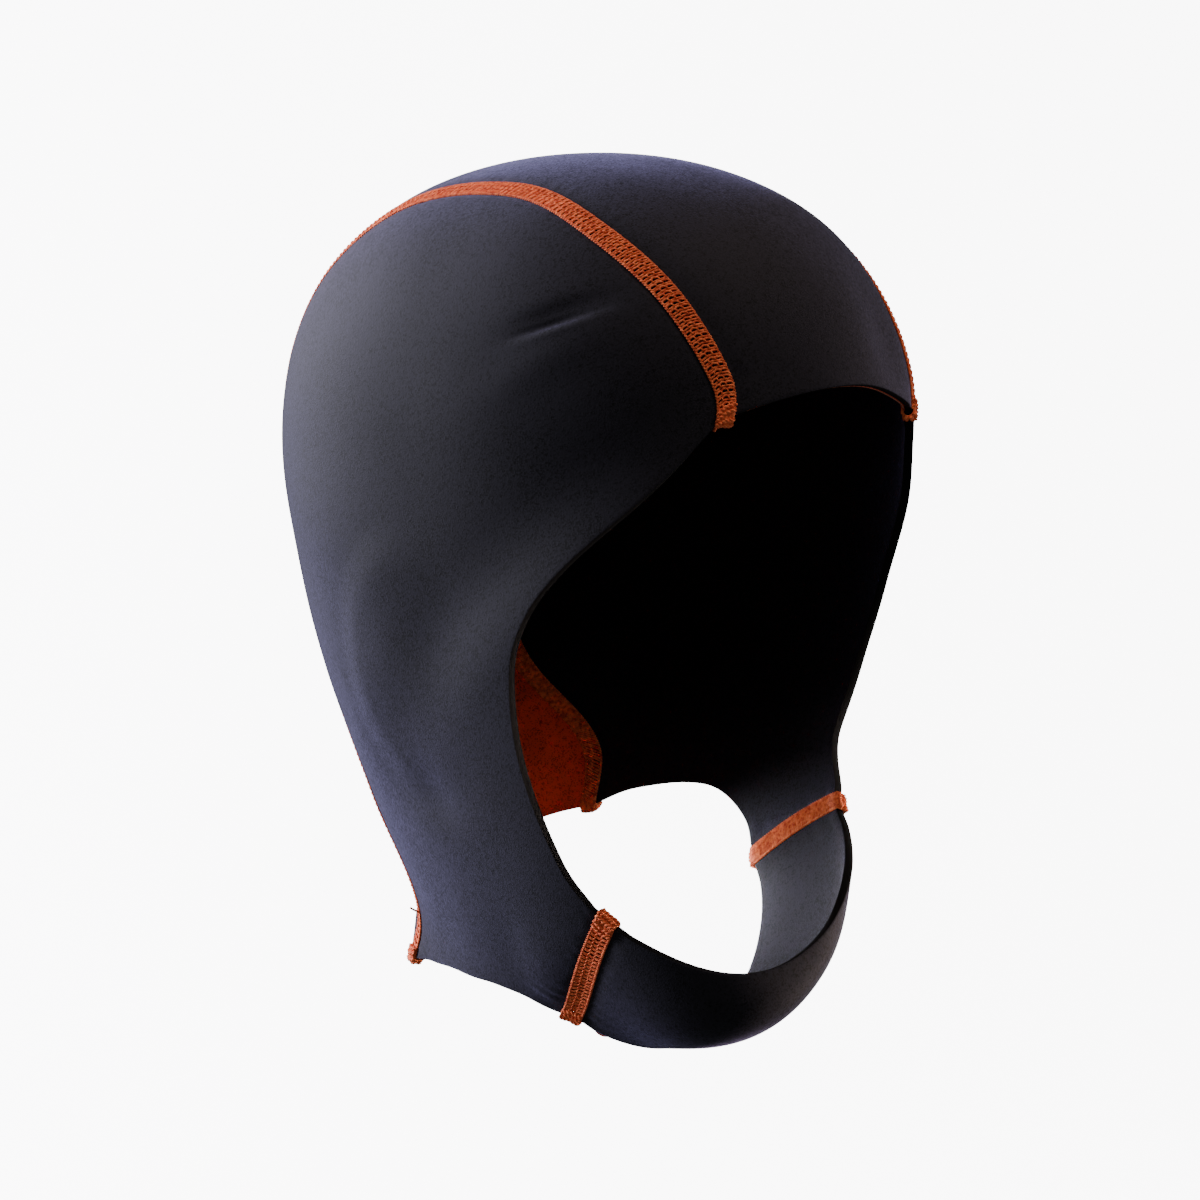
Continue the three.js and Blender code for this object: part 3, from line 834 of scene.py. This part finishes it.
def soft_box(name, place, target, size, power, spread=180, colour="#ffffff"):
    """Square area light at a place, turned to a target."""
    light = bpy.data.lights.new(name, "AREA")
    light.size = size
    light.energy = power
    light.spread = radians(spread)
    light.color = linear(colour)[:3]
    lamp = bpy.data.objects.new(name, light)
    lamp.location = place
    lamp.rotation_euler = (Vector(place) - Vector(target)).to_track_quat("Z", "Y").to_euler()
    lamp.visible_camera = False
    bpy.context.scene.collection.objects.link(lamp)


def seen_from_target(azimuth, elevation, distance):
    """Place at an azimuth and elevation as seen from the middle of the cap."""
    a, e = radians(azimuth), radians(elevation)
    return TARGET + Vector((sin(a) * cos(e), -cos(a) * cos(e), sin(e))) * distance


WARM, COOL = "#ffe6da", "#f2f0ff"
soft_box("key", seen_from_target(-160, 18, 1.5), TARGET, 1.1, 84, colour=COOL)
soft_box("crown fill", seen_from_target(20, 68, 1.4), TARGET, 0.8, 12.5, colour=WARM)
soft_box("side light", seen_from_target(66, 5, 1.6), TARGET, 0.9, 6.5, colour=WARM)
soft_box("neck light", (0.0, 0.05, -0.243), (0.055, -0.058, -0.245), 0.03, 0.44, 64)
soft_box("chin light", (0.28, -0.30, -0.27), (0.015, -0.08, -0.23), 0.15, 0.17, 28, WARM)
world = bpy.data.worlds.new("pale room")
world.use_nodes = True
world.node_tree.nodes["Background"].inputs["Color"].default_value = (1, 1, 1, 1)
world.node_tree.nodes["Background"].inputs["Strength"].default_value = 0.17
bpy.context.scene.world = world


# Camera at the photograph's viewing angle.

AZIMUTH, ELEVATION, DISTANCE = radians(CAMERA_AZIMUTH), radians(5.2), 0.9
lens = bpy.data.cameras.new("camera")
lens.lens = 92.6
lens.sensor_width = 36
camera = bpy.data.objects.new("camera", lens)
back = Vector((sin(AZIMUTH) * cos(ELEVATION), -cos(AZIMUTH) * cos(ELEVATION), sin(ELEVATION)))
camera.location = TARGET + back * DISTANCE
camera.rotation_euler = back.to_track_quat("Z", "Y").to_euler()
bpy.context.scene.collection.objects.link(camera)
bpy.context.scene.camera = camera
